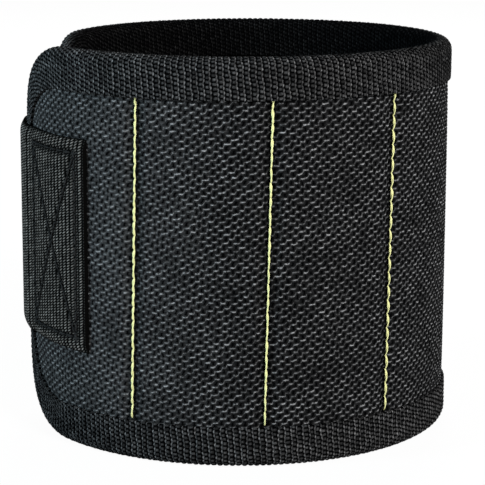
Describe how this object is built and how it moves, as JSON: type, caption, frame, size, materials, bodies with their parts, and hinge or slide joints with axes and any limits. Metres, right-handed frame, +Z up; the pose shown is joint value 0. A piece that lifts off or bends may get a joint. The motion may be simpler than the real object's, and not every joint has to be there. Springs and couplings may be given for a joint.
{
  "type": "magnetic wristband",
  "caption": "Padded fabric wristband wrapped into a ring, with sewn magnet pockets, bound edges and a hook-and-loop strap, for holding small steel hardware.",
  "frame": {"origin": "middle of the footprint, on the surface that the band stands on", "axes": "+Z up along the wrist axis, -Y towards the magnet pockets seen in the picture, -X towards the outer end with the strap"},
  "size_m": [0.1006, 0.0942, 0.09],
  "materials": {
    "outer_shell": "coarse ballistic-type nylon weave, slight sheen",
    "lining": "matt breathable lining",
    "foam": "closed-cell foam",
    "binding_tape": "ribbed woven tape",
    "yellow_thread": "thick bonded thread",
    "black_thread": "bonded thread",
    "webbing": "ribbed nylon webbing",
    "hook_tape": "hook side of a hook-and-loop tape",
    "loop_panel": "brushed loop side of a hook-and-loop tape",
    "magnet": "nickel plating"
  },
  "bodies": {
    "outer_end": {"outer_shell_end": "outer_shell", "foam_pad_end": "foam", "lining_end": "lining", "edge_binding_end": "binding_tape", "strap_sewn_end": "webbing", "box_stitch": "black_thread"},
    "pocket_1": {"outer_shell_pocket_1": "outer_shell", "foam_pad_pocket_1": "foam", "lining_pocket_1": "lining", "edge_binding_top_pocket_1": "binding_tape", "edge_binding_bottom_pocket_1": "binding_tape", "magnet_1_bottom": "magnet", "magnet_1_middle": "magnet", "magnet_1_top": "magnet", "stitch_row_1": "yellow_thread"},
    "pocket_2": {"outer_shell_pocket_2": "outer_shell", "foam_pad_pocket_2": "foam", "lining_pocket_2": "lining", "edge_binding_top_pocket_2": "binding_tape", "edge_binding_bottom_pocket_2": "binding_tape", "magnet_2_bottom": "magnet", "magnet_2_middle": "magnet", "magnet_2_top": "magnet", "stitch_row_2": "yellow_thread", "stitch_row_3": "yellow_thread"},
    "pocket_3": {"outer_shell_pocket_3": "outer_shell", "foam_pad_pocket_3": "foam", "lining_pocket_3": "lining", "edge_binding_top_pocket_3": "binding_tape", "edge_binding_bottom_pocket_3": "binding_tape", "magnet_3_bottom": "magnet", "magnet_3_middle": "magnet", "magnet_3_top": "magnet", "stitch_row_4": "yellow_thread"},
    "back": {"outer_shell_back": "outer_shell", "foam_pad_back": "foam", "lining_back": "lining", "edge_binding_back": "binding_tape", "magnet_4_bottom": "magnet", "magnet_4_middle": "magnet", "magnet_4_top": "magnet", "magnet_5_bottom": "magnet", "magnet_5_middle": "magnet", "magnet_5_top": "magnet", "stitch_row_5": "yellow_thread", "stitch_row_6": "yellow_thread", "loop_panel": "loop_panel"},
    "strap": {"strap_free": "webbing", "hook_tape": "hook_tape"}
  },
  "joints": [
    {"name": "seam_1_fold", "type": "hinge", "parent": "pocket_1", "child": "outer_end", "pos_m": [-0.02257, -0.04126, 0.045], "axis": [0, 0, 1], "range_deg": [0, 25]},
    {"name": "seam_2_fold", "type": "hinge", "parent": "pocket_2", "child": "pocket_1", "pos_m": [0.00736, -0.04677, 0.045], "axis": [0, 0, 1], "range_deg": [0, 25]},
    {"name": "seam_3_fold", "type": "hinge", "parent": "pocket_2", "child": "pocket_3", "pos_m": [0.0349, -0.03381, 0.045], "axis": [0, 0, -1], "range_deg": [0, 25]},
    {"name": "seam_4_fold", "type": "hinge", "parent": "pocket_3", "child": "back", "pos_m": [0.05031, -0.00009, 0.045], "axis": [0, 0, -1], "range_deg": [0, 25]},
    {"name": "strap_peel", "type": "hinge", "parent": "outer_end", "child": "strap", "pos_m": [-0.0462, -0.01533, 0.0465], "axis": [0, 0, 1], "range_deg": [0, 110]}
  ],
  "couplings": [
    {"joint": "seam_1_fold", "follows": "seam_4_fold", "ratio": 1},
    {"joint": "seam_2_fold", "follows": "seam_4_fold", "ratio": 1},
    {"joint": "seam_3_fold", "follows": "seam_4_fold", "ratio": 1}
  ]
}
